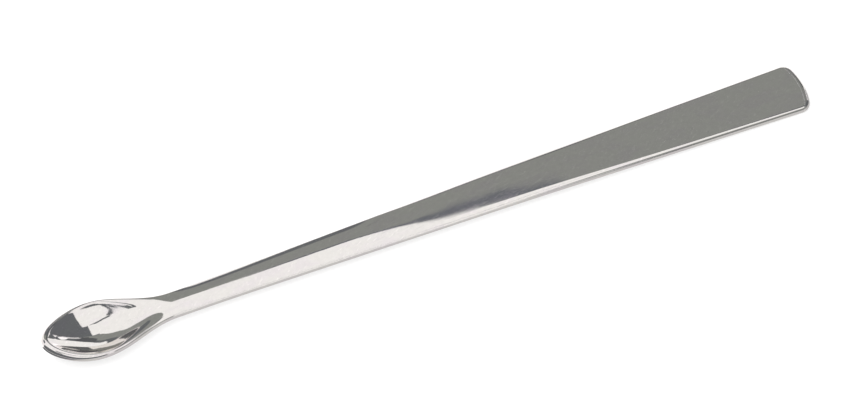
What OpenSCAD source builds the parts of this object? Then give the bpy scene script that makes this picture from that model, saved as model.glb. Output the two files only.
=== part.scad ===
// Spoon spatula of polished stainless steel, forged in one piece: a dished spoon
// bowl, a neck, a crowned handle that widens along its length, and a flat blade end.
// +X runs from the spoon's tip to the blade's end and +Z is up, with the middle of the
// length at the origin. The spatula lies on z = 0 as it rests on a bench: on the
// bowl's back and the blade's end.

/* [Overall] */
// Length from the spoon's tip to the blade's end
length = 180; // [150:1:210]
// Height of the handle's sides next to the neck
handle_side = 1.26; // [1:0.01:1.8]
// Height of the blade's sides
blade_side = 1.6; // [1.2:0.01:2]

/* [Spoon bowl] */
// Greatest width of the bowl
bowl_w = 14.43; // [11:0.1:16]
// Distance from the tip to the bowl's widest place
bowl_peak = 12.4; // [9:0.1:14]
// Distance from the tip to the dish's deepest place
deep_at = 14; // [13:0.5:17]
// How much slimmer the tip is than an ellipse
tip_slim = 0.29; // [0:0.01:0.6]
// Height of the rim beside the dish, with the bowl's back on the bench
rim_height = 4.05; // [3.4:0.05:4.6]
// How far the rim rises from there to the tip
tip_lift = 1.84; // [0:0.01:2.5]
// How far the rim dips between the dish and the neck
rim_dip = 0.13; // [0:0.01:0.5]
// Height of the rim's outer side
rim_side = 1.3; // [1.25:0.05:1.6]
// Width of the round on the rim's upper edge
rim_round = 0.45; // [0.3:0.05:0.8]
// Height of that round
rim_round_h = 0.45; // [0.3:0.05:0.8]
// Width of the round on the tip's upper edge
tip_round = 1.2; // [0.4:0.05:1.6]
// Height of the round at the tip
tip_round_h = 1; // [0.4:0.05:1]
// Radius of the rim's lower edge
rim_under = 0.2; // [0.1:0.01:0.25]
// Thickness of the bowl's floor
floor_t = 1.2; // [0.9:0.05:1.4]
// Share of the back's half width that is flat in the middle, where the bowl rests
back_flat = 0.16; // [0:0.01:0.3]

/* [Neck and handle] */
// Distance from the tip to the neck, where the bowl's flare ends
neck_at = 30.3; // [28:0.1:36]
// Width of the neck
neck_w = 6.3; // [4:0.05:7]
// Share of the dish over which it rolls into the neck's top
neck_soft = 0.4; // [0.05:0.01:0.6]
// Distance from the tip to where the handle starts to widen
widen_at = 39.9; // [39:0.1:60]
// Height of the crown over the handle's sides
crown_h = 0.6; // [0.3:0.01:0.8]
// Distance from the tip to where the crown starts to flatten
flatten_at = 70; // [60:1:90]
// Length over which most of the crown is lost
flatten_run = 28; // [20:1:50]

/* [Blade end] */
// Width of the blade where its sides meet its end
blade_w = 12.85; // [10:0.05:15]
// Radius of the blade's bowed end
end_r = 16.2; // [12:0.1:40]
// Radius of the blade's two corners
corner_r = 2.6; // [1:0.1:3]
// Fall of the blade's flat back over each millimetre of length
blade_fall = 0.0213; // [0.015:0.0001:0.03]
// Distance from the tip to the slight bend between handle and blade
bend_at = 112; // [95:1:125]
// Change of fall at the bend
bend_fall = 0.018; // [0:0.0001:0.03]

/* [Edges] */
// Radius of the handle's long edges, upper and lower
edge_r = 0.36; // [0.25:0.01:0.45]
// Greatest width of the rolled upper edge, where the handle turns into the blade
shoulder_w = 1.29; // [0.4:0.01:1.6]
// Height of the rolled upper edge on the blade
shoulder_h = 0.78; // [0.4:0.01:0.9]
// Width of the rolled upper edge at the blade's end
end_round = 0.73; // [0.4:0.01:1.2]

/* [Hidden] */

// Steps round the tip, along bowl and neck, along the handle, round a corner and the end
tip_steps = 15;
bowl_steps = 30;
handle_steps = 34;
corner_steps = 5;
end_steps = 6;
// Steps from the axis to the upper edge, round it and round the lower edge
cross_steps = 10;
upper_steps = 5;
lower_steps = 3;

// Lengths over which the widening and the bend come in
widen_soft = 9;
bend_soft = 12;
// Powers of the dish's section and of the back's section
dish_power = 2.1;
back_power = 2.3;
// Share of the dish over which it rolls into the rim's lip, and where the neck's takes over
lip_soft = 0.03;
soft_from = 14;
soft_to = 27;
// Where the tip's round has turned into the rim's
tip_round_to = 16;
// Crown left on the blade, and the slow part of the crown beyond its quick part
crown_blade = 0.018;
crown_slow = 0.06;
slow_from = 85;
slow_to = 135;
// Where the sides grow to the blade's height
side_from = 85;
side_to = 125;
// Where the upper edge widens, is widest, has its width at the end, and its blade's height
wide_from = 78;
wide_at = 98;
wide_to = 150;
high_to = 140;
// Where the handle's section starts to take over from the bowl's, and is complete
take_from = neck_at - 9;
take_to = neck_at + 7;
steel = [0.78, 0.78, 0.77];

// ---- Blends ----

// 0 up to a, 1 from b on, with a soft start and finish
function ease(a, b, s) =
    let (t = min(1, max(0, (s - a) / (b - a))))
    t * t * (3 - 2 * t);

// Half a cosine wave, from 1 at a down to 0 at b
function wave(a, b, s) = 0.5 + 0.5 * cos(180 * min(1, max(0, (s - a) / (b - a))));

// 0 below -h, x above h, and a parabola that joins them
function ramp(x, h) = x < -h ? 0 : x > h ? x : (x + h) * (x + h) / (4 * h);

// ---- Outline of the +Y half, seen from above ----

widen_slope = (blade_w - neck_w) / 2 / (length - widen_at);

function handle_half(s) = neck_w / 2 + widen_slope * ramp(s - widen_at, widen_soft);

function flare_half(s) =
    handle_half(s) + (bowl_w / 2 - handle_half(s)) * wave(bowl_peak, neck_at, s);

// Place on the outline round the tip, t from 0 at the tip to 90 at the widest place
function tip_edge(t) =
    [bowl_peak * (1 - cos(t)), bowl_w / 2 * sin(t) * sqrt(1 - tip_slim * pow(cos(t), 2))];

// The corner's arc touches the straight side and the bowed end from inside
side_turn = atan(widen_slope);
side_out = [-sin(side_turn), cos(side_turn)];
side_run = [cos(side_turn), sin(side_turn)];
end_centre = [length - end_r, 0];
corner_start = [widen_at, neck_w / 2] - corner_r * side_out - end_centre;
corner_along = -corner_start * side_run
    + sqrt(pow(corner_start * side_run, 2) - corner_start * corner_start
        + pow(end_r - corner_r, 2));
corner_centre = end_centre + corner_start + corner_along * side_run;
corner_from = 90 + side_turn;
corner_to = atan2(corner_centre[1], corner_centre[0] - end_centre[0]);
side_end = corner_centre[0] + corner_r * side_out[0];

function on_arc(centre, r, a) = centre + r * [cos(a), sin(a)];

// Outward direction at a place, from its two neighbours on the outline
function outward(before, after) =
    let (run = (after - before) / norm(after - before))
    [-run[1], run[0]];

step = 0.01;
straight_from = neck_at + 9;
bowl_step = (straight_from - bowl_peak) / bowl_steps;

// Each rib of the surface is [edge place, outward direction, start on the axis]
ribs = concat(
    [for (i = [0 : tip_steps])
        let (t = 90 * i / tip_steps, edge = i == 0 ? [0, 0] : tip_edge(t))
        [edge, i == 0 ? [-1, 0] : outward(tip_edge(t - step), tip_edge(t + step)), deep_at]],
    [for (i = [1 : bowl_steps])
        side_rib(bowl_peak + bowl_step * i)],
    [for (i = [1 : handle_steps])
        let (s = straight_from + (side_end - straight_from) * i / handle_steps)
        side_rib(s)],
    [for (i = [1 : corner_steps])
        let (a = corner_from + (corner_to - corner_from) * i / corner_steps)
        [on_arc(corner_centre, corner_r, a), [cos(a), sin(a)], side_end]],
    [for (i = [1 : end_steps])
        let (a = corner_to * (1 - i / end_steps))
        [i == end_steps ? [length, 0] : on_arc(end_centre, end_r, a), [cos(a), sin(a)], side_end]]
);

function side_rib(s) =
    let (before = [s - step, flare_half(s - step)], after = [s + step, flare_half(s + step)])
    [[s, flare_half(s)], outward(before, after), max(s, deep_at)];

// ---- Heights ----

// Flat back of the handle and blade, with the slight bend
function back_z(x) = blade_fall * (length - x) - bend_fall * ramp(bend_at - x, bend_soft);

// Share of the handle's section: 0 in the bowl, 1 in the handle
function share(s) = ease(take_from, take_to, s);

// Whole height of the side, from its foot to the plane of the top
function side_h(s) =
    rim_side
    + (handle_side + (blade_side - handle_side) * ease(side_from, side_to, s) - rim_side) * share(s);

// Lift of the rim towards the tip
function lift(s) = tip_lift * pow(max(0, 1 - s / bowl_peak), 2);

// Top of the outer side: the bowl's rim up to the neck, then the handle's edge
handle_top = back_z(take_to) + side_h(take_to);
function rim_z(s, x) =
    s < take_to
    ? rim_height + (handle_top - rim_height) * ease(bowl_peak, take_to, s) + lift(s)
      - rim_dip * pow(sin(180 * min(1, max(0, (s - bowl_peak) / (take_to - bowl_peak)))), 2)
    : back_z(x) + side_h(x);

// Crown on the axis over the top of the sides
function crown(s) =
    crown_blade
    + (crown_h - crown_blade - crown_slow) * pow(1 - ease(flatten_at, flatten_at + flatten_run, s), 2)
    + crown_slow * (1 - ease(slow_from, slow_to, s));

// Depth of the dish on the axis below the rim
function depth(s) = (rim_z(s, s) - floor_t) * wave(deep_at, neck_at, s);

// Share of the depth at v: 1 on the axis, less a power of v, and 0 at the lip. A short
// parabola rolls the dish into the lip without a crease.
function dish(s, v) =
    let (soft = lip_soft + (neck_soft - lip_soft) * ease(soft_from, soft_to, s))
    1 - pow(1 - ramp(1 - (1 + soft) * v, soft), dish_power);

// Drop of the back on the axis below the foot of the outer side, and the share of it at u:
// 1 over the flat middle, less a power of u beyond that, and 0 at the foot
function back_drop(s) = (rim_z(s, s) - side_h(s)) * wave(deep_at, neck_at + 2, s);
flat_power = pow(back_flat, back_power);
function back_share(u) = 1 - (pow(max(back_flat, u), back_power) - flat_power) / (1 - flat_power);

// Width and height of the elliptical round on the upper edge: broad round the tip, tight
// along the bowl and the handle, a wide rolled shoulder before the blade, and narrower on it
function tip_share(s) = 1 - ease(0, tip_round_to, s);
function rim_w(s) = rim_round + (tip_round - rim_round) * tip_share(s);
function rim_h(s) = rim_round_h + (tip_round_h - rim_round_h) * tip_share(s);
function handle_round_w(s) =
    edge_r
    + (shoulder_w - edge_r) * ease(wide_from, wide_at, s)
    + (end_round - shoulder_w) * ease(wide_at, wide_to, s);
function handle_round_h(s) = edge_r + (shoulder_h - edge_r) * ease(wide_at - 3, high_to, s);
function upper_w(s) = rim_w(s) + (handle_round_w(s) - rim_w(s)) * share(s);
function upper_h(s) = rim_h(s) + (handle_round_h(s) - rim_h(s)) * share(s);

// Radius of the lower edge
function lower_r(s) = rim_under + (edge_r - rim_under) * share(s);

// ---- Surface ----

// Points of one rib: over the top, round the upper edge, down the side, round the lower
// edge and back along the underside. The share across is 0 on the axis, 1 at the outline.
function rib_points(rib) =
    let (
        edge = rib[0],
        out = rib[1],
        start = [rib[2], 0],
        s = edge[0],
        whole = norm(edge - start),
        round_w = upper_w(s),
        round_h = upper_h(s),
        under_r = lower_r(s),
        inner = edge - round_w * out,
        foot = edge - under_r * out
    )
    concat(
        [for (i = [0 : cross_steps])
            let (v = sin(90 * i / cross_steps), p = start + (inner - start) * v)
            [p[0], p[1], top_z(s, p, whole, edge) - depth(s) * dish(s, v)]],
        [for (i = [1 : upper_steps])
            let (a = 90 * i / upper_steps, p = edge - round_w * (1 - sin(a)) * out)
            [p[0], p[1], top_z(s, p, whole, edge) - round_h * (1 - cos(a))]],
        [for (i = [lower_steps : -1 : 0])
            let (a = 90 * i / lower_steps, p = edge - under_r * (1 - sin(a)) * out)
            [p[0], p[1], foot_z(s, p, whole, edge) + under_r * (1 - cos(a))]],
        [for (i = [cross_steps - 1 : -1 : 0])
            let (v = sin(90 * i / cross_steps), p = start + (foot - start) * v)
            [p[0], p[1], foot_z(s, p, whole, edge)]]
    );

// Share of the way from the axis to the outline
function across(p, whole, edge) = 1 - norm(edge - p) / whole;

// Top with its crown, and foot of the side with the back's drop, before rounds and dish
function top_z(s, p, whole, edge) =
    rim_z(s, p[0]) + crown(s) * share(s) * (1 - pow(across(p, whole, edge), 2));
function foot_z(s, p, whole, edge) =
    rim_z(s, p[0]) - side_h(max(s, p[0]))
    - back_drop(s) * back_share(across(p, whole, edge));

rib_count = len(ribs);
path_last = 2 * cross_steps + upper_steps + lower_steps + 1;
path_count = path_last + 1;
fan_last = tip_steps + floor((deep_at - bowl_peak) / bowl_step);
end_fan_first = tip_steps + bowl_steps + handle_steps;

// Number of a point, side 0 for +Y and 1 for -Y. The two sides share the points on the
// axis, the tip and the blade's end, and the ribs of a fan share their start.
function place(side, k, j) =
    let (
        on_axis = j == 0 || j == path_last,
        at_end = k == 0 || k == rib_count - 1,
        rib = !on_axis ? k : k < fan_last ? fan_last : k > end_fan_first ? end_fan_first : k,
        half = on_axis || at_end ? 0 : side
    )
    (half * rib_count + rib) * path_count + j;

// A triangle, left out where two of its corners are one point
function face(a, b, c) = a == b || b == c || c == a ? [] : [[a, b, c]];

module steel_body() {
    half = [for (rib = ribs) each rib_points(rib)];
    mirrored = [for (p = half) [p[0], -p[1], p[2]]];
    faces = [
        for (side = [0, 1], k = [0 : rib_count - 2], j = [0 : path_last - 1])
            let (
                a = place(side, k, j),
                b = place(side, k + 1, j),
                c = place(side, k + 1, j + 1),
                d = place(side, k, j + 1)
            )
            each side == 0
                ? concat(face(a, b, c), face(a, c, d))
                : concat(face(a, c, b), face(a, d, c))
    ];
    polyhedron(points = concat(half, mirrored), faces = faces, convexity = 6);
}

module spatula() {
    translate([-length / 2, 0, 0]) color(steel) steel_body();
}

spatula();
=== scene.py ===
"""Laboratory spoon spatula of polished stainless steel, on a pale bench in a white studio.

The steel body is one closed surface worked out with numpy from a few named sizes. It runs from
the dished spoon through the neck and the crowned handle to the flat blade without a seam.
"""
import math

import bmesh
import bpy
import numpy as np
from bpy.props import FloatProperty, FloatVectorProperty, PointerProperty
from mathutils import Matrix, Vector


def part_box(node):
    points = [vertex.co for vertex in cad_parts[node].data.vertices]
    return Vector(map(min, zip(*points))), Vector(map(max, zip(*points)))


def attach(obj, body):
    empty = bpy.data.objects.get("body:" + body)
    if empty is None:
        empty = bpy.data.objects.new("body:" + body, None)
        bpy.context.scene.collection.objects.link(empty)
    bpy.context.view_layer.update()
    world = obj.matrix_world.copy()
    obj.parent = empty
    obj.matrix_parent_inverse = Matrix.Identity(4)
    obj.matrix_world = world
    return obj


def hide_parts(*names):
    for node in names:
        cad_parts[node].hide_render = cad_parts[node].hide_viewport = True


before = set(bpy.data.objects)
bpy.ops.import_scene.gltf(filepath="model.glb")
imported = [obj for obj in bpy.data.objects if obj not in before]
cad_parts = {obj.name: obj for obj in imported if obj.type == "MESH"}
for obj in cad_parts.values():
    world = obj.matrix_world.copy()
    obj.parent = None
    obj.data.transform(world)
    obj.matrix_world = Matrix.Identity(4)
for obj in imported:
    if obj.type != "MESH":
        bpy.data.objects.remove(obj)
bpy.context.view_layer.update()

bl_info = {
    "name": "Lab Spoon Spatula",
    "version": (1, 0, 0),
    "blender": (4, 5, 0),
    "location": "3D View > Sidebar > Spatula",
    "description": "Polished steel spoon spatula made in one piece, with its bench and studio",
    "category": "Object",
}

NODE = "spatula"
BODY = "root"
BOX_LOW, BOX_HIGH = (np.array(c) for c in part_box(NODE))
MM = 0.001
# Sizes that are shares or slopes, and not lengths
SHARES = ("tip_slim", "lip_soft", "neck_soft", "back_flat", "blade_fall", "bend_fall")


# ---- Sizes and colours that a user would change ----


def size_mm(name, description, millimetres, low=0.0, high=250.0):
    """A length in the 3D view's units, with its default given in millimetres."""
    return FloatProperty(
        name=name,
        description=description,
        default=millimetres * MM,
        min=low * MM,
        max=high * MM,
        precision=5,
        subtype="DISTANCE",
        unit="LENGTH",
    )


def factor(name, description, default, low=0.0, high=1.0):
    """A share, shown as a slider."""
    return FloatProperty(
        name=name, description=description, default=default, min=low, max=high, subtype="FACTOR"
    )


def number(name, description, default, low, high):
    """A plain number with four decimals."""
    return FloatProperty(
        name=name, description=description, default=default, min=low, max=high, precision=4
    )


class SpatulaSizes(bpy.types.PropertyGroup):
    """Sizes of the steel body. Distances along it start at the spoon's tip."""

    length: size_mm(
        "Length", "From the spoon's tip to the blade's end", (BOX_HIGH[0] - BOX_LOW[0]) / MM
    )
    bowl_width: size_mm(
        "Bowl width", "Greatest width of the bowl", (BOX_HIGH[1] - BOX_LOW[1]) / MM
    )
    widest_at: size_mm("Widest at", "Distance from the tip to the bowl's widest place", 12.4)
    deepest_at: size_mm("Deepest at", "Distance from the tip to the dish's deepest place", 14)
    tip_slim: factor("Tip slimness", "How much slimmer the tip is than an ellipse", 0.29)
    rim_height: size_mm("Rim height", "Height of the rim beside the dish", 4.05)
    tip_lift: size_mm("Tip lift", "Rise of the rim from the bowl's widest place to the tip", 1.84)
    rim_dip: size_mm("Rim dip", "Dip of the rim between the dish and the neck", 0.13)
    rim_side: size_mm("Rim side", "Height of the rim's outer side", 1.3)
    rim_round: size_mm("Rim round", "Width of the round on the rim's upper edge", 0.45)
    rim_round_height: size_mm("Rim round height", "Height of the round on the rim", 0.45)
    tip_round: size_mm("Tip round", "Width of the round on the tip's upper edge", 1.2)
    tip_round_height: size_mm("Tip round height", "Height of the round at the tip", 1.0)
    rim_under: size_mm("Rim under", "Radius of the rim's lower edge", 0.2)
    lip_soft: factor("Lip softness", "Share of the dish over which it rolls into the lip", 0.03)
    neck_soft: factor("Neck softness", "The same share where the dish meets the neck", 0.4)
    floor_thickness: size_mm("Floor thickness", "Thickness of the bowl's floor", 1.2)
    back_flat: factor("Flat of the back", "Share of the back's half width that is flat", 0.16)
    neck_at: size_mm("Neck at", "Distance from the tip to the neck", 30.3)
    neck_width: size_mm("Neck width", "Width of the neck", 6.3)
    widens_from: size_mm("Widens from", "Distance to where the handle starts to widen", 39.9)
    handle_side: size_mm("Handle side", "Height of the sides next to the neck", 1.26)
    crown_height: size_mm("Crown", "Height of the crown over the handle's sides", 0.6)
    flattens_from: size_mm("Flattens from", "Distance to where the crown starts to flatten", 70)
    flatten_run: size_mm("Flatten run", "Length over which most of the crown is lost", 28)
    blade_width: size_mm("Blade width", "Width where the blade's sides meet its end", 12.85)
    blade_side: size_mm("Blade side", "Height of the blade's sides", 1.6)
    end_radius: size_mm("End radius", "Radius of the blade's bowed end", 16.2)
    corner_radius: size_mm("Corner radius", "Radius of the blade's two corners", 2.6)
    blade_fall: number("Blade fall", "Fall of the blade's back per unit of length", 0.0213, 0, 0.1)
    bend_at: size_mm("Bend at", "Distance to the slight bend before the blade", 112)
    bend_fall: number("Bend", "Change of fall at the bend", 0.018, 0, 0.1)
    edge_radius: size_mm("Edge radius", "Radius of the handle's long edges", 0.36)
    shoulder_width: size_mm("Shoulder width", "Greatest width of the rolled upper edge", 1.29)
    shoulder_height: size_mm("Shoulder height", "Height of the rolled edge on the blade", 0.78)
    end_round: size_mm("End round", "Width of the rolled upper edge at the blade's end", 0.73)


class SteelFinish(bpy.types.PropertyGroup):
    """Colour and polish of the steel."""

    colour: FloatVectorProperty(
        name="Steel colour",
        description="Reflected colour of the steel",
        default=(0.85, 0.82, 0.79),
        min=0.0,
        max=1.0,
        subtype="COLOR",
        size=3,
    )
    roughness: factor("Roughness", "Roughness of the clean polish", 0.04)
    # The end band is painted shade, with a painted highlight line inside it, for the look of a
    # bevel at the blade's end
    painted_end_band: size_mm("End band", "Width of the duller ground band along the blade's end", 1.2)


class StudioSettings(bpy.types.PropertyGroup):
    """Camera, bench and light of the studio."""

    azimuth: FloatProperty(
        name="Camera azimuth",
        description="Turn of the camera round the object",
        default=math.radians(-23.425),
        subtype="ANGLE",
        unit="ROTATION",
    )
    elevation: FloatProperty(
        name="Camera elevation",
        description="Height of the camera over the bench, as an angle",
        default=math.radians(55.021),
        subtype="ANGLE",
        unit="ROTATION",
    )
    distance: size_mm("Camera distance", "From the camera to its target", 1500, 100, 9000)
    lens: number("Lens", "Focal length in millimetres", 292.09, 20, 600)
    bench_colour: FloatVectorProperty(
        name="Bench colour",
        description="Colour of the bench",
        default=(0.95, 0.95, 0.95),
        min=0.0,
        max=1.0,
        subtype="COLOR",
        size=3,
    )
    ceiling: size_mm("Ceiling height", "Height of the reflected cards overhead", 1000, 300, 5000)


# ---- Blends ----


def ease(a, b, s):
    """0 up to a, 1 from b on, with a soft start and finish: t squared times (3 - 2t)."""
    t = np.clip((s - a) / (b - a), 0.0, 1.0)
    return t * t * (3.0 - 2.0 * t)


def wave(a, b, s):
    """Half a cosine wave, from 1 at a down to 0 at b."""
    return 0.5 + 0.5 * np.cos(np.pi * np.clip((s - a) / (b - a), 0.0, 1.0))


def ramp(x, h):
    """0 below -h, x above h, and a parabola that joins them."""
    return np.where(x < -h, 0.0, np.where(x > h, x, (x + h) ** 2 / (4.0 * h)))


# ---- The steel body ----

# Facets of the steel body: along each stretch of the outline, from the axis to an edge, and
# round an edge
OUTLINE_STEPS = {"tip": 56, "bowl": 130, "handle": 170, "corner": 16, "end": 22}
ACROSS_STEPS = 30
ROUND_STEPS = 8
# Distances in metres under which points are merged and thin faces are dissolved
MERGE_WITHIN = 1e-7
THIN_FACE = 1e-8


class Body:
    """Heights and widths of the spatula as functions of s, the distance from the tip, in mm."""

    # Half lengths of the soft start of the widening and of the bend
    widen_soft, bend_soft = 9.0, 12.0
    # Powers of the dish's, the back's and the crown's profiles across the spatula
    dish_power, back_power, crown_power = 2.1, 2.3, 2.0
    # Crown that the blade keeps, and the part of the crown that is lost slowly, with its stretch
    crown_blade, crown_slow, slow_from, slow_to = 0.018, 0.06, 85.0, 135.0
    # Stretch over which the sides change from the handle's height to the blade's
    side_from, side_to = 85.0, 125.0
    # Where the tip's round has become the rim's
    tip_round_to = 16.0
    # Stretch over which the lip's softness changes to the neck's
    soft_from, soft_to = 14.0, 27.0
    # The upper edge's round widens from wide_from to wide_at and narrows again by wide_to, and
    # it gets its full height from high_from to high_to
    wide_from, wide_at, wide_to = 78.0, 98.0, 150.0
    high_from, high_to = 95.0, 140.0
    # The handle's section takes over from before the neck to past it, and the back's drop and
    # the bowl's closer facets end past it
    take_before, take_past, drop_past, close_past = 9.0, 7.0, 2.0, 9.0

    def __init__(self, sizes):
        for name in sizes.__annotations__:
            value = getattr(sizes, name)
            setattr(self, name, value if name in SHARES else value / MM)
        self.take_from = self.neck_at - self.take_before
        self.take_to = self.neck_at + self.take_past
        self.slope = (self.blade_width - self.neck_width) / 2 / (self.length - self.widens_from)
        self.handle_top = self.back_z(self.take_to) + self.side_height(self.take_to)

    def handle_half(self, s):
        """Half width of the handle: straight sides, with a soft start of the widening."""
        return self.neck_width / 2 + self.slope * ramp(s - self.widens_from, self.widen_soft)

    def flare_half(self, s):
        """Half width beyond the bowl's widest place: a half cosine wave down to the handle's."""
        handle = self.handle_half(s)
        return handle + (self.bowl_width / 2 - handle) * wave(self.widest_at, self.neck_at, s)

    def back_z(self, x):
        """Height of the flat back: a straight fall to the blade's end, with the slight bend."""
        bend = self.bend_fall * ramp(self.bend_at - x, self.bend_soft)
        return self.blade_fall * (self.length - x) - bend

    def share(self, s):
        """Share of the handle's section: 0 in the bowl, 1 in the handle."""
        return ease(self.take_from, self.take_to, s)

    def side_height(self, s):
        """Whole height of the side, from the foot to the top's plane."""
        blade = (self.blade_side - self.handle_side) * ease(self.side_from, self.side_to, s)
        return self.rim_side + (self.handle_side + blade - self.rim_side) * self.share(s)

    def lift(self, s):
        """Lift of the rim towards the tip: a parabola from the widest place."""
        return self.tip_lift * np.clip(1.0 - s / self.widest_at, 0.0, None) ** 2

    def rim_z(self, s, x):
        """Top of the outer side: the bowl's rim up to the neck, then the handle's edge."""
        t = np.clip((s - self.widest_at) / (self.take_to - self.widest_at), 0.0, 1.0)
        fall = (self.handle_top - self.rim_height) * ease(self.widest_at, self.take_to, s)
        rim = self.rim_height + fall + self.lift(s) - self.rim_dip * np.sin(np.pi * t) ** 2
        return np.where(s < self.take_to, rim, self.back_z(x) + self.side_height(x))

    def crown(self, s):
        """Crown on the axis: most of it is lost quickly, a little of it slowly."""
        quick = 1.0 - ease(self.flattens_from, self.flattens_from + self.flatten_run, s)
        slow = 1.0 - ease(self.slow_from, self.slow_to, s)
        high = self.crown_height - self.crown_blade - self.crown_slow
        return self.crown_blade + high * quick**2 + self.crown_slow * slow

    def depth(self, s):
        """Depth of the dish on the axis below the rim."""
        return (self.rim_z(s, s) - self.floor_thickness) * wave(self.deepest_at, self.neck_at, s)

    def back_drop(self, s):
        """Drop of the back on the axis below the foot of the outer side."""
        depth = self.rim_z(s, s) - self.side_height(s)
        return depth * wave(self.deepest_at, self.neck_at + self.drop_past, s)

    def back_share(self, u):
        """Share of the drop at u: 1 over the flat middle, less a power of u, and 0 at the foot."""
        flat = self.back_flat**self.back_power
        return 1.0 - (np.maximum(self.back_flat, u) ** self.back_power - flat) / (1.0 - flat)

    def upper_round(self, s):
        """Width and height of the elliptical round on the upper edge: the rim's own in the
        bowl, tight in the handle, a wide shoulder before the blade and a narrower one on it."""
        wide = (self.shoulder_width - self.edge_radius) * ease(self.wide_from, self.wide_at, s)
        wide = wide + (self.end_round - self.shoulder_width) * ease(self.wide_at, self.wide_to, s)
        deep = self.shoulder_height - self.edge_radius
        high = self.edge_radius + deep * ease(self.high_from, self.high_to, s)
        share = self.share(s)
        tip = 1.0 - ease(0.0, self.tip_round_to, s)
        rim_width = self.rim_round + (self.tip_round - self.rim_round) * tip
        rim_height = self.rim_round_height + (self.tip_round_height - self.rim_round_height) * tip
        width = rim_width + (self.edge_radius + wide - rim_width) * share
        return width, rim_height + (high - rim_height) * share

    def lower_round(self, s):
        """Radius of the lower edge."""
        return self.rim_under + (self.edge_radius - self.rim_under) * self.share(s)

    def dish(self, s, v):
        """Share of the depth at v, from 1 on the axis to 0 at the lip: 1 less a power of v,
        with a short parabola that rolls the dish into the lip without a crease."""
        more = (self.neck_soft - self.lip_soft) * ease(self.soft_from, self.soft_to, s)
        soft = self.lip_soft + more
        reach = 1.0 - ramp(1.0 - (1.0 + soft) * v, soft)
        return 1.0 - reach**self.dish_power


def outline_half(body):
    """The +Y half of the outline as ribs: edge places, outward directions and starts on the axis.

    Round the tip it is an ellipse slimmed by tip_slim, along the bowl and the handle it is the
    flare, each corner is an arc inside both the straight side and the bowed end, and the end is
    an arc about the axis. Ribs of the dish start at its deepest place, ribs of the corner and
    the end at the place where the straight side stops.
    """
    tip, bowl, handle, corner, end = OUTLINE_STEPS.values()
    spread = math.atan(body.slope)
    out = np.array([-math.sin(spread), math.cos(spread)])
    run = np.array([math.cos(spread), math.sin(spread)])
    end_centre = np.array([body.length - body.end_radius, 0.0])
    # The corner's centre is where the straight side, moved inwards by the corner's radius,
    # meets the end's arc made smaller by as much
    inside = np.array([body.widens_from, body.neck_width / 2]) - body.corner_radius * out
    first = inside - end_centre
    inner = body.end_radius - body.corner_radius
    along = -first @ run + math.sqrt((first @ run) ** 2 - first @ first + inner**2)
    corner_centre = end_centre + first + along * run
    corner_from = math.pi / 2 + spread
    corner_to = math.atan2(corner_centre[1], corner_centre[0] - end_centre[0])
    side_end = corner_centre[0] + body.corner_radius * out[0]

    t = np.linspace(0.0, math.pi / 2, tip + 1)
    slim = np.sqrt(1.0 - body.tip_slim * np.cos(t) ** 2)
    half = body.bowl_width / 2
    places = [np.stack([body.widest_at * (1.0 - np.cos(t)), half * np.sin(t) * slim], 1)]
    turn = np.cos(t) * slim + np.sin(t) ** 2 * body.tip_slim * np.cos(t) / slim
    headings = [np.stack([body.widest_at * np.sin(t), half * turn], 1)]
    starts = [np.full(tip + 1, body.deepest_at)]

    middle = body.neck_at + body.close_past
    s = np.concatenate(
        [
            np.linspace(body.widest_at, middle, bowl + 1)[1:],
            np.linspace(middle, side_end, handle + 1)[1:],
        ]
    )
    step = 0.01
    rise = (body.flare_half(s + step) - body.flare_half(s - step)) / (2 * step)
    places.append(np.stack([s, body.flare_half(s)], 1))
    headings.append(np.stack([np.ones_like(s), rise], 1))
    starts.append(np.maximum(s, body.deepest_at))

    arcs = (
        (corner_centre, body.corner_radius, np.linspace(corner_from, corner_to, corner + 1)[1:]),
        (end_centre, body.end_radius, np.linspace(corner_to, 0.0, end + 1)[1:]),
    )
    for centre, radius, angle in arcs:
        places.append(centre + radius * np.stack([np.cos(angle), np.sin(angle)], 1))
        headings.append(np.stack([np.sin(angle), -np.cos(angle)], 1))
        starts.append(np.full(len(angle), side_end))

    places, headings = np.concatenate(places), np.concatenate(headings)
    outward = np.stack([-headings[:, 1], headings[:, 0]], 1)
    outward /= np.linalg.norm(outward, axis=1)[:, None]
    places[0, 1] = places[-1, 1] = 0.0
    outward[0], outward[-1] = (-1.0, 0.0), (1.0, 0.0)
    starts = np.stack([np.concatenate(starts), np.zeros(len(places))], 1)
    return places, outward, starts


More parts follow.
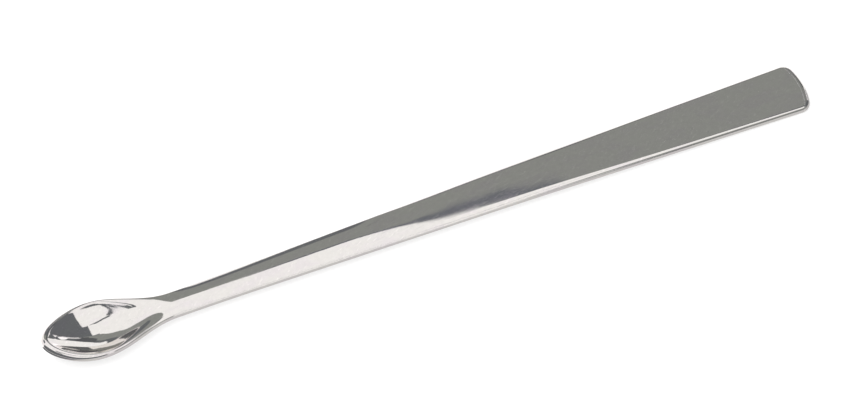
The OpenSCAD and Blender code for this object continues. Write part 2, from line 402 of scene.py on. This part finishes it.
def body_grid(body):
    """Points of the steel body on a grid of outline place by place along a rib.

    Each rib runs from its start on the axis over the top, round the upper edge, down the side,
    round the lower edge and back along the underside to the axis. With u the share of the way
    from the axis to the outline, the top's height is the rim's plus the crown times 1 less u
    squared, less the dish's depth times its profile, less the fall of the elliptical round near
    the edge. The underside is the foot less a drop times its share at u, plus the rise of
    the lower round. The -Y half is the mirror image, and joins on in the opposite order.
    """
    edge, out, start = outline_half(body)
    edge_x, edge_y = edge[:, :1], edge[:, 1:]
    start_x, start_y = start[:, :1], start[:, 1:]
    s = edge_x
    rib_length = np.hypot(edge_x - start_x, edge_y - start_y)
    width, height = body.upper_round(s)
    crown, depth, drop = body.crown(s) * body.share(s), body.depth(s), body.back_drop(s)
    radius = body.lower_round(s)

    def near_edge(inset):
        """Places moved inwards from the outline by inset."""
        return edge_x - inset * out[:, :1], edge_y - inset * out[:, 1:]

    def towards(inset, v):
        """Places at share v of the way from the start on the axis to the inset outline."""
        end_x, end_y = near_edge(inset)
        return start_x + (end_x - start_x) * v, start_y + (end_y - start_y) * v

    def share_across(x, y):
        """Share u of the way from the axis to the outline."""
        return 1.0 - np.hypot(edge_x - x, edge_y - y) / rib_length

    def top_z(x, y):
        """Height of the top without the dish and the round."""
        return body.rim_z(s, x) + crown * (1.0 - share_across(x, y) ** body.crown_power)

    def under_z(x, y):
        """Height of the underside without the lower round."""
        foot = body.rim_z(s, x) - body.side_height(np.maximum(s, x))
        return foot - drop * body.back_share(share_across(x, y))

    v = np.sin(np.linspace(0.0, math.pi / 2, ACROSS_STEPS + 1))[None]
    x, y = towards(width, v)
    rows = [(x, y, top_z(x, y) - depth * body.dish(s, v))]

    angle = np.linspace(0.0, math.pi / 2, ROUND_STEPS + 1)[None]
    upper = angle[:, 1:]
    x, y = near_edge(width * (1.0 - np.sin(upper)))
    rows.append((x, y, top_z(x, y) - height * (1.0 - np.cos(upper))))

    lower = angle[:, ::-1]
    x, y = near_edge(radius * (1.0 - np.sin(lower)))
    rows.append((x, y, under_z(x, y) + radius * (1.0 - np.cos(lower))))

    x, y = towards(radius, v[:, ::-1][:, 1:])
    rows.append((x, y, under_z(x, y)))

    half = np.concatenate([np.stack(np.broadcast_arrays(*row), 2) for row in rows], 1)
    mirrored = (half * [1.0, -1.0, 1.0])[-2:0:-1]
    grid = np.concatenate([half, mirrored])
    grid[..., 0] -= body.length / 2
    return grid * MM


def mesh_from_loop(name, grid):
    """A mesh from a grid whose first index goes round a closed loop. Points that meet on the
    axis and at the poles are merged, and faces point outwards."""
    rings, places = grid.shape[:2]
    ring = np.arange(rings)[:, None]
    place = np.arange(places - 1)[None]
    here, after = ring * places + place, (ring + 1) % rings * places + place
    quads = np.stack([here, after, after + 1, here + 1], 2)
    mesh = bpy.data.meshes.new(name)
    mesh.from_pydata(grid.reshape(-1, 3).tolist(), [], quads.reshape(-1, 4).tolist())
    work = bmesh.new()
    work.from_mesh(mesh)
    bmesh.ops.remove_doubles(work, verts=work.verts, dist=MERGE_WITHIN)
    bmesh.ops.dissolve_degenerate(work, edges=work.edges, dist=THIN_FACE)
    bmesh.ops.recalc_face_normals(work, faces=work.faces)
    work.to_mesh(mesh)
    work.free()
    mesh.polygons.foreach_set("use_smooth", np.ones(len(mesh.polygons), bool))
    mesh.update()
    return mesh


# ---- Materials ----

# Noise of the polish: turn about Z in degrees, length of the grains along X, Y and Z in mm,
# detail, roughness, and the shift that sets the noises apart
NOISES = {
    "hairline": (2.0, (9.0, 0.07, 0.07), 3.0, 0.6, (0.0, 0.0, 0.0)),
    "scratch": (-11.0, (5.0, 0.10, 0.10), 1.0, 0.5, (3.1, 7.7, 0.0)),
    "nick": (24.0, (2.2, 0.09, 0.09), 1.0, 0.5, (9.3, 1.7, 0.0)),
    "fleck": (-30.0, (1.6, 0.45, 0.45), 2.0, 0.6, (4.3, 8.2, 0.0)),
    "mottle": (0.0, (1.1, 0.9, 0.9), 2.0, 0.6, (2.7, 6.1, 0.0)),
    "haze": (0.0, (7.0, 3.0, 3.0), 3.0, 0.6, (5.0, 2.0, 0.0)),
}
# Marks of the polish: the noise that each is cut from, and the values over which it comes in
MARKS = {
    "scratch": ("scratch", 0.70, 0.78),
    "nick": ("nick", 0.72, 0.80),
    "fleck": ("fleck", 0.58, 0.72),
    "haze": ("haze", 0.35, 0.75),
    "tint": ("haze", 0.42, 0.66),
}
# Values of its noise over which the mottle goes from darkest to lightest
MOTTLE_RANGE = (0.3, 0.7)
# What each mark adds to the roughness, to the brightness and to the bump's height
ROUGHER = {"haze": 0.02, "scratch": 0.14, "nick": 0.14, "fleck": 0.03, "highlight_line": 0.2}
# In the brightness, the band at the blade's end is painted shade and its line a painted highlight,
# for the look of a bevel there; scratches, flecks and mottle are the steel's own tone
BRIGHTER = {"shade_band": -0.10, "scratch": -0.06, "highlight_line": 0.18, "fleck": 0.08, "mottle": 0.022}
HIGHER = {"scratch": -0.6}
# Colour of the tinted places as a share of the steel's
TINT = (0.985, 0.965, 1.0)
# Strength of the bump, and its height in mm
BUMP_STRENGTH, BUMP_HEIGHT = 0.25, 0.003
# The band of painted shade at the blade's end, which stands for the darker reflection of a bevel
# there, in mm: how far ahead of the end arc's centre it comes in, how soft its edge is, and the
# inner and outer sides of the painted highlight line, counted from that edge
SHADE_BAND_AHEAD = (10.0, 13.5)
SHADE_BAND_SOFT = 0.1
HIGHLIGHT_LINE_INNER, HIGHLIGHT_LINE_OUTER = (-0.18, -0.06), (0.04, 0.16)
# Share of the bench's brightness that is its own light
BENCH_GLOW = 0.5


def new_material(name):
    """An empty node material with its output, and its node tree."""
    material = bpy.data.materials.new(name)
    material.use_nodes = True
    tree = material.node_tree
    tree.nodes.clear()
    output = tree.nodes.new("ShaderNodeOutputMaterial")
    return material, tree, output


def maths(tree, operation, a, b=None, c=None, clamp=False):
    """A Math node. Each input is a number or a socket."""
    node = tree.nodes.new("ShaderNodeMath")
    node.operation = operation
    node.use_clamp = clamp
    for socket, value in zip(node.inputs, (a, b, c)):
        if value is None:
            continue
        if isinstance(value, bpy.types.NodeSocket):
            tree.links.new(value, socket)
        else:
            socket.default_value = value
    return node.outputs[0]


def remap(tree, value, low, high, to_low=0.0, to_high=1.0, smooth=True):
    """A Map Range node, clamped, with a soft start and finish by default."""
    node = tree.nodes.new("ShaderNodeMapRange")
    node.interpolation_type = "SMOOTHSTEP" if smooth else "LINEAR"
    tree.links.new(value, node.inputs["Value"])
    node.inputs["From Min"].default_value = low
    node.inputs["From Max"].default_value = high
    node.inputs["To Min"].default_value = to_low
    node.inputs["To Max"].default_value = to_high
    return node.outputs["Result"]


def grain(tree, turn, spacing, detail, rough, shift):
    """Noise in object space whose grains are spacing millimetres long in x, y and z, turned
    by an angle in degrees about z and shifted by whole and part grains."""
    coords = tree.nodes.new("ShaderNodeTexCoord")
    turned = tree.nodes.new("ShaderNodeMapping")
    turned.inputs["Rotation"].default_value = (0.0, 0.0, math.radians(turn))
    stretched = tree.nodes.new("ShaderNodeMapping")
    stretched.inputs["Scale"].default_value = [1.0 / (d * MM) for d in spacing]
    stretched.inputs["Location"].default_value = shift
    noise = tree.nodes.new("ShaderNodeTexNoise")
    noise.inputs["Scale"].default_value = 1.0
    noise.inputs["Detail"].default_value = detail
    noise.inputs["Roughness"].default_value = rough
    tree.links.new(coords.outputs["Object"], turned.inputs["Vector"])
    tree.links.new(turned.outputs["Vector"], stretched.inputs["Vector"])
    tree.links.new(stretched.outputs["Vector"], noise.inputs["Vector"])
    return noise.outputs["Fac"]


def painted_end_band(tree, finish, sizes):
    """Painted shade in a band along the blade's bowed end and a painted highlight line inside it,
    which stand for how a bevel there reflects, from the distance to the end arc's centre in
    object space."""
    coords = tree.nodes.new("ShaderNodeTexCoord")
    away = tree.nodes.new("ShaderNodeVectorMath")
    away.operation = "SUBTRACT"
    away.inputs[1].default_value = (sizes.length / 2 - sizes.end_radius, 0.0, 0.0)
    flat = tree.nodes.new("ShaderNodeVectorMath")
    flat.operation = "MULTIPLY"
    flat.inputs[1].default_value = (1.0, 1.0, 0.0)
    length = tree.nodes.new("ShaderNodeVectorMath")
    length.operation = "LENGTH"
    tree.links.new(coords.outputs["Object"], away.inputs[0])
    tree.links.new(away.outputs["Vector"], flat.inputs[0])
    tree.links.new(flat.outputs["Vector"], length.inputs[0])
    reach, start = length.outputs["Value"], sizes.end_radius - finish.painted_end_band
    part = tree.nodes.new("ShaderNodeSeparateXYZ")
    tree.links.new(away.outputs["Vector"], part.inputs["Vector"])
    ahead = remap(tree, part.outputs["X"], *[d * MM for d in SHADE_BAND_AHEAD])
    shade_band = maths(tree, "MULTIPLY", remap(tree, reach, start, start + SHADE_BAND_SOFT * MM), ahead)
    inner = remap(tree, reach, *[start + d * MM for d in HIGHLIGHT_LINE_INNER])
    outer = remap(tree, reach, *[start + d * MM for d in HIGHLIGHT_LINE_OUTER])
    highlight_line = maths(tree, "MULTIPLY", maths(tree, "SUBTRACT", inner, outer, clamp=True), ahead)
    return shade_band, highlight_line


def weighted(tree, start, marks, weights):
    """The start plus each named mark times its weight."""
    total = start
    for name, weight in weights.items():
        total = maths(tree, "MULTIPLY_ADD", marks[name], weight, total)
    return total


def steel_colour(tree, finish, marks):
    """The steel's colour, with its tinted places, times a brightness that the marks change, among
    them the painted shade band and the painted highlight line at the blade's end.
    """
    tint = tree.nodes.new("ShaderNodeMix")
    tint.data_type = "RGBA"
    tint.inputs["A"].default_value = (*finish.colour, 1.0)
    tint.inputs["B"].default_value = (*[c * share for c, share in zip(finish.colour, TINT)], 1.0)
    tree.links.new(marks["tint"], tint.inputs["Factor"])
    scaled = tree.nodes.new("ShaderNodeVectorMath")
    scaled.operation = "SCALE"
    tree.links.new(tint.outputs["Result"], scaled.inputs[0])
    tree.links.new(weighted(tree, 1.0, marks, BRIGHTER), scaled.inputs["Scale"])
    return scaled.outputs["Vector"]


def steel_bump(tree, hairline, marks):
    """A very fine bump: hairlines, with the scratches cut into them."""
    bump = tree.nodes.new("ShaderNodeBump")
    bump.inputs["Strength"].default_value = BUMP_STRENGTH
    bump.inputs["Distance"].default_value = BUMP_HEIGHT * MM
    tree.links.new(weighted(tree, hairline, marks, HIGHER), bump.inputs["Height"])
    return bump.outputs["Normal"]


def steel_material(finish, sizes):
    """Polished steel: hairlines along the length, short crossing scratches and nicks, light
    flecks, a faint mottle and a slight haze, with a band of painted shade at the blade's end
    and a painted highlight line inside it, which is also rougher."""
    material, tree, output = new_material("polished_steel")
    shader = tree.nodes.new("ShaderNodeBsdfPrincipled")
    shader.inputs["Metallic"].default_value = 1.0
    tree.links.new(shader.outputs["BSDF"], output.inputs["Surface"])

    noises = {name: grain(tree, *values) for name, values in NOISES.items()}
    marks = {}
    for name, (noise, low, high) in MARKS.items():
        marks[name] = remap(tree, noises[noise], low, high)
    marks["mottle"] = remap(tree, noises["mottle"], *MOTTLE_RANGE, -1.0, 1.0, smooth=False)
    # Painted shade and a painted highlight along the blade's end
    marks["shade_band"], marks["highlight_line"] = painted_end_band(tree, finish, sizes)

    rough = weighted(tree, finish.roughness, marks, ROUGHER)
    tree.links.new(rough, shader.inputs["Roughness"])
    tree.links.new(steel_colour(tree, finish, marks), shader.inputs["Base Color"])
    tree.links.new(steel_bump(tree, noises["hairline"], marks), shader.inputs["Normal"])
    return material


def glow_material(name, colour):
    """Plain light of one colour."""
    material, tree, output = new_material(name)
    light = tree.nodes.new("ShaderNodeEmission")
    light.inputs["Color"].default_value = (*colour, 1.0)
    light.inputs["Strength"].default_value = 1.0
    tree.links.new(light.outputs["Emission"], output.inputs["Surface"])
    return material


def bench_material(colour):
    """Matt pale bench that is partly a light table, so that the shadow stays faint."""
    material, tree, output = new_material("white_bench")
    matt = tree.nodes.new("ShaderNodeBsdfDiffuse")
    matt.inputs["Color"].default_value = (*[(1.0 - BENCH_GLOW) * c for c in colour], 1.0)
    light = tree.nodes.new("ShaderNodeEmission")
    light.inputs["Color"].default_value = (1.0, 1.0, 1.0, 1.0)
    light.inputs["Strength"].default_value = BENCH_GLOW
    both = tree.nodes.new("ShaderNodeAddShader")
    tree.links.new(matt.outputs["BSDF"], both.inputs[0])
    tree.links.new(light.outputs["Emission"], both.inputs[1])
    tree.links.new(both.outputs["Shader"], output.inputs["Surface"])
    return material


# ---- Stage ----

# Point on the bench that the camera looks at, and the width of its sensor, in mm
CAMERA_TARGET = (1.598, 5.320, 0.0)
SENSOR_WIDTH = 36.0
# Nearest and farthest that the camera sees, in metres
CLIP_NEAR, CLIP_FAR = 0.05, 50.0
# Half width of the bench in metres
BENCH_REACH = 6.0
# Strength at which the world lights matt surfaces
MATT_LIGHT = 0.88
# Lamps: name, place and size in mm, and power in watts
LAMPS = (
    ("main_lamp", (-350, 240, 1000), (1500, 680), 10.0),
    ("near_lamp", (-300, -900, 1000), (1500, 900), 8.0),
)

# Light that the reflected surroundings give, as linear colours
TONES = {
    "grey_wall": (0.275, 0.288, 0.276),
    "dark_room": (0.148, 0.158, 0.168),
    "dark_shelf": (0.115, 0.120, 0.128),
    "smoky_shelf": (0.155, 0.165, 0.190),
    "bench_shade": (0.64, 0.64, 0.64),
    "small_light": (1.2, 1.2, 1.2),
    "small_light_soft": (0.72, 0.72, 0.72),
}
# Planes of the room in mm: the shelf's front and back, the far and near walls, the top of the
# far wall, the side walls, and the foot of the walls over the bench
SHELF_FRONT, SHELF_BACK = 577, 660
FAR_WALL, NEAR_WALL = 900, -1050
WALL_TOP = 1386
SIDE_WALL = 3000
FOOT = 2
# Distance in mm between cards that hang one before the other
STEP = 2

# Cards at the ceiling: name, tone, steps below it, and corners in plan. They stand for the dark
# room beside and between the white reflectors, the camera, a shelf and a small light
CEILING_CARDS = (
    ("room_right", "dark_room", 0, [
        (385, SHELF_FRONT), (388, 270), (398, 150), (405, -50), (525, -8), (590, -28),
        (638, -145), (696, -325), (774, -495), (915, -876), (950, NEAR_WALL),
        (SIDE_WALL, NEAR_WALL), (SIDE_WALL, SHELF_FRONT),
    ]),
    ("room_left", "dark_room", 0, [
        (-1180, 300), (-800, -60), (-589, -215), (-500, -330), (-410, -480), (-400, -640),
        (-415, -753), (-415, NEAR_WALL), (-SIDE_WALL, NEAR_WALL), (-SIDE_WALL, 400),
    ]),
    ("room_left_back", "dark_room", 0, [
        (-262, 440), (-276, 700), (-278, 839), (-278, 1300), (-900, 1300), (-900, 440),
    ]),
    ("gap", "dark_room", 0, [
        (600, -20), (372, -60), (219, -128), (92, -170), (-22, -235), (-141, -290), (-235, -372),
        (-262, -372), (-205, -250), (-89, -199), (19, -145), (110, -90), (250, -80), (460, -40),
        (560, 10),
    ]),
    ("camera_shape", "dark_room", 0, [
        (-170, -370), (-196, -404), (-262, -510), (-339, -700), (-350, -860), (-292, NEAR_WALL),
        (-415, NEAR_WALL), (-400, -839), (-380, -700), (-326, -510), (-294, -404), (-270, -370),
    ]),
    ("shelf_edge", "dark_shelf", 0, [
        (720, SHELF_FRONT), (SIDE_WALL, SHELF_FRONT), (SIDE_WALL, SHELF_BACK), (720, SHELF_BACK),
    ]),
    ("shelf_front", "grey_wall", 0, [
        (200, SHELF_FRONT), (720, SHELF_FRONT), (720, SHELF_BACK), (200, SHELF_BACK),
    ]),
    ("smoky_edge", "smoky_shelf", 1, [
        (205, SHELF_FRONT), (720, SHELF_FRONT), (720, 596), (500, 588), (440, 591), (405, 606),
        (372, 597), (345, 615), (320, 606), (300, 630), (281, 616), (262, 642), (250, 625),
        (235, 650), (215, 636),
    ]),
    ("small_light_c", "small_light_soft", 1, [(880, 580), (1900, 580), (1900, 650), (880, 650)]),
)
# Lower edge of the grey of the far wall, from the middle to the right, as X and height
WALL_EDGE = [
    (85, FOOT), (85, 330), (94, 400), (219, 420), (409, 550), (590, 580), (971, 710),
    (1243, 700), (1450, 620), (1609, 470), (1864, 560), (2268, 750), (SIDE_WALL, 1150),
    (SIDE_WALL, WALL_TOP),
]
# Cards of the far wall: name, tone, steps before it, and corners as X and height
FAR_CARDS = (
    ("grey_far_wall", "grey_wall", 0, [
        (250, WALL_TOP), (165, 1290), (51, 1104), (-109, 891), (-150, 769), (-176, 490),
        (-150, 300), (-128, 200), (-115, 100), (-115, FOOT), *WALL_EDGE,
    ]),
    ("wall_foot", "dark_room", 1, [
        (-60, FOOT), *WALL_EDGE, (1100, WALL_TOP), (1100, 950), (971, 950), (590, 800),
        (409, 770), (219, 600), (94, 540), (0, 470), (-60, 350),
    ]),
    ("wall_core", "dark_shelf", 2, [
        (330, 560), (409, 600), (590, 634), (800, 720), (1100, 790), (1100, WALL_TOP),
        (720, WALL_TOP), (700, 1180), (330, 880),
    ]),
    ("small_light_a", "small_light", 3, [
        (1535, 640), (1835, 730), (2200, 870), (2500, 1040), (2700, 1150), (2700, WALL_TOP),
        (1900, WALL_TOP), (1750, 1100), (1500, 800),
    ]),
    ("small_light_b", "small_light_soft", 3, [
        (1080, 1150), (1780, 1150), (1900, WALL_TOP), (1080, WALL_TOP),
    ]),
)
# The near wall is dark up to the first X and grey from the second on. Between them it is dark
# above a height and open below it
NEAR_DARK_END, NEAR_GREY_START, NEAR_OPEN_TOP = 90, 310, 800
# Side walls: name, X, near and far end, and height of the foot
SIDE_CARDS = (
    ("room_right_wall", SIDE_WALL, -1732, 1500, 100),
    ("room_left_wall", -SIDE_WALL, NEAR_WALL, 400, FOOT),
)
# Cards on the bench that the lower edges reflect: name, tone, height over it, and corners in plan
BENCH_CARDS = (
    ("bench_shade", "bench_shade", 0.05, [(-400, -1000), (400, -1000), (400, 0), (-400, 0)]),
    ("bench_edge", "dark_room", 0.06, [
        (282, NEAR_WALL), (360, NEAR_WALL), (110, -11.5), (22, -11.5),
    ]),
    # A painted shadow: a dark sheet, in the dark room's tone, where the bowl's shadow falls beside
    # its tip
    ("bench_corner", "dark_room", 0.06, [
        (-120, -20), (-85, -20), (-87.5, -8), (-90, -4), (-92, 2), (-120, 2),
    ]),
)


def flat_card(name, corners, material):
    """A flat card from its corners in mm, seen only in reflections."""
    mesh = bpy.data.meshes.new(name)
    mesh.from_pydata([[c * MM for c in p] for p in corners], [], [list(range(len(corners)))])
    mesh.materials.append(material)
    card = bpy.data.objects.new(name, mesh)
    bpy.context.scene.collection.objects.link(card)
    card.visible_camera = False
    card.visible_diffuse = False
    card.visible_shadow = False
    card.visible_transmission = False


def add_cards(ceiling):
    """The surroundings that the steel reflects, with the ceiling's height in mm."""
    tones = {name: glow_material(name, colour) for name, colour in TONES.items()}
    for name, tone, steps, corners in CEILING_CARDS:
        flat_card(name, [(x, y, ceiling - steps * STEP) for x, y in corners], tones[tone])
    for name, tone, steps, corners in FAR_CARDS:
        flat_card(name, [(x, FAR_WALL - steps * STEP, z) for x, z in corners], tones[tone])
    near_dark = [
        (-SIDE_WALL, FOOT), (NEAR_DARK_END, FOOT), (NEAR_DARK_END, NEAR_OPEN_TOP),
        (NEAR_GREY_START, NEAR_OPEN_TOP), (NEAR_GREY_START, ceiling), (-SIDE_WALL, ceiling),
    ]
    near_grey = [
        (NEAR_GREY_START, FOOT), (SIDE_WALL, FOOT), (SIDE_WALL, ceiling),
        (NEAR_GREY_START, ceiling),
    ]
    flat_card("dark_near_wall", [(x, NEAR_WALL, z) for x, z in near_dark], tones["dark_room"])
    flat_card("grey_near_wall", [(x, NEAR_WALL, z) for x, z in near_grey], tones["grey_wall"])
    for name, x, near, far, foot in SIDE_CARDS:
        corners = [(x, near, foot), (x, far, foot), (x, far, ceiling), (x, near, ceiling)]
        flat_card(name, corners, tones["dark_room"])
    for name, tone, height, corners in BENCH_CARDS:
        flat_card(name, [(x, y, height) for x, y in corners], tones[tone])


def add_bench(colour):
    """The bench: one large square at height 0."""
    square = ((-1, -1), (1, -1), (1, 1), (-1, 1))
    mesh = bpy.data.meshes.new("bench")
    mesh.from_pydata([(x * BENCH_REACH, y * BENCH_REACH, 0.0) for x, y in square], [], [range(4)])
    mesh.materials.append(bench_material(colour))
    bench = bpy.data.objects.new("bench", mesh)
    bpy.context.scene.collection.objects.link(bench)


def add_camera(studio):
    """The camera: turned round the target by azimuth and elevation."""
    azimuth, elevation = studio.azimuth, studio.elevation
    level = math.cos(elevation)
    back = Vector((math.sin(azimuth) * level, -math.cos(azimuth) * level, math.sin(elevation)))
    right = Vector((math.cos(azimuth), math.sin(azimuth), 0.0))
    up = back.cross(right)
    data = bpy.data.cameras.new("studio_camera")
    data.sensor_fit = "HORIZONTAL"
    data.sensor_width = SENSOR_WIDTH
    data.lens = studio.lens
    data.clip_start, data.clip_end = CLIP_NEAR, CLIP_FAR
    camera = bpy.data.objects.new("studio_camera", data)
    bpy.context.scene.collection.objects.link(camera)
    place = Vector(CAMERA_TARGET) * MM + back * studio.distance
    turn = Matrix((right, up, back)).transposed().to_4x4()
    camera.matrix_world = Matrix.Translation(place) @ turn
    bpy.context.scene.camera = camera


def add_lamp(name, place, size, power):
    """A soft rectangular lamp that looks at the object."""
    data = bpy.data.lights.new(name, "AREA")
    data.shape = "RECTANGLE"
    data.size, data.size_y = (d * MM for d in size)
    data.energy = power
    lamp = bpy.data.objects.new(name, data)
    bpy.context.scene.collection.objects.link(lamp)
    lamp.location = [c * MM for c in place]
    lamp.rotation_mode = "QUATERNION"
    lamp.rotation_quaternion = Vector(lamp.location).to_track_quat("Z", "Y")
    lamp.visible_glossy = False
    lamp.visible_camera = False


def set_world():
    """A white studio. Camera, glossy and transmitted rays see it at strength 1, and it lights
    matt surfaces a little less, so that the lamps add a soft shadow."""
    world = bpy.data.worlds.new("white_studio")
    bpy.context.scene.world = world
    world.use_nodes = True
    tree = world.node_tree
    tree.nodes.clear()
    output = tree.nodes.new("ShaderNodeOutputWorld")
    background = tree.nodes.new("ShaderNodeBackground")
    background.inputs["Color"].default_value = (1.0, 1.0, 1.0, 1.0)
    path = tree.nodes.new("ShaderNodeLightPath")
    seen = maths(tree, "MAXIMUM", path.outputs["Is Camera Ray"], path.outputs["Is Glossy Ray"])
    seen = maths(tree, "MAXIMUM", seen, path.outputs["Is Transmission Ray"])
    strength = maths(tree, "MULTIPLY_ADD", seen, 1.0 - MATT_LIGHT, MATT_LIGHT)
    tree.links.new(strength, background.inputs["Strength"])
    tree.links.new(background.outputs["Background"], output.inputs["Surface"])


# ---- Operators ----


class SPATULA_OT_steel_body(bpy.types.Operator):
    """Make the steel body with its polish"""

    bl_idname = "spatula.steel_body"
    bl_label = "Steel body"

    def execute(self, context):
        scene = context.scene
        grid = body_grid(Body(scene.spatula_sizes))
        piece = bpy.data.objects.new("steel_body", mesh_from_loop("steel_body", grid))
        scene.collection.objects.link(piece)
        piece.data.materials.append(steel_material(scene.spatula_steel, scene.spatula_sizes))
        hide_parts(NODE)
        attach(piece, BODY)
        return {"FINISHED"}


class SPATULA_OT_stage(bpy.types.Operator):
    """Make the camera, the white studio, the bench, the reflected room and the lamps"""

    bl_idname = "spatula.stage"
    bl_label = "Studio stage"

    def execute(self, context):
        studio = context.scene.spatula_studio
        add_camera(studio)
        set_world()
        add_bench(studio.bench_colour)
        add_cards(studio.ceiling / MM)
        for lamp in LAMPS:
            add_lamp(*lamp)
        return {"FINISHED"}


class SPATULA_PT_panel(bpy.types.Panel):
    """Lists the spatula's operators and sizes"""

    bl_idname = "SPATULA_PT_panel"
    bl_label = "Spoon Spatula"
    bl_space_type = "VIEW_3D"
    bl_region_type = "UI"
    bl_category = "Spatula"

    def draw(self, context):
        layout = self.layout
        for operator in (SPATULA_OT_steel_body, SPATULA_OT_stage):
            layout.operator(operator.bl_idname)
        for group in ("spatula_sizes", "spatula_steel", "spatula_studio"):
            settings = getattr(context.scene, group)
            box = layout.box()
            for name in settings.__annotations__:
                box.prop(settings, name)


CLASSES = (
    SpatulaSizes,
    SteelFinish,
    StudioSettings,
    SPATULA_OT_steel_body,
    SPATULA_OT_stage,
    SPATULA_PT_panel,
)


def register():
    for cls in CLASSES:
        bpy.utils.register_class(cls)
    bpy.types.Scene.spatula_sizes = PointerProperty(type=SpatulaSizes)
    bpy.types.Scene.spatula_steel = PointerProperty(type=SteelFinish)
    bpy.types.Scene.spatula_studio = PointerProperty(type=StudioSettings)


def unregister():
    del bpy.types.Scene.spatula_studio
    del bpy.types.Scene.spatula_steel
    del bpy.types.Scene.spatula_sizes
    for cls in reversed(CLASSES):
        bpy.utils.unregister_class(cls)


def main():
    register()
    bpy.context.scene.view_settings.view_transform = "Standard"
    bpy.ops.spatula.steel_body()
    bpy.ops.spatula.stage()


if __name__ == "__main__":
    main()
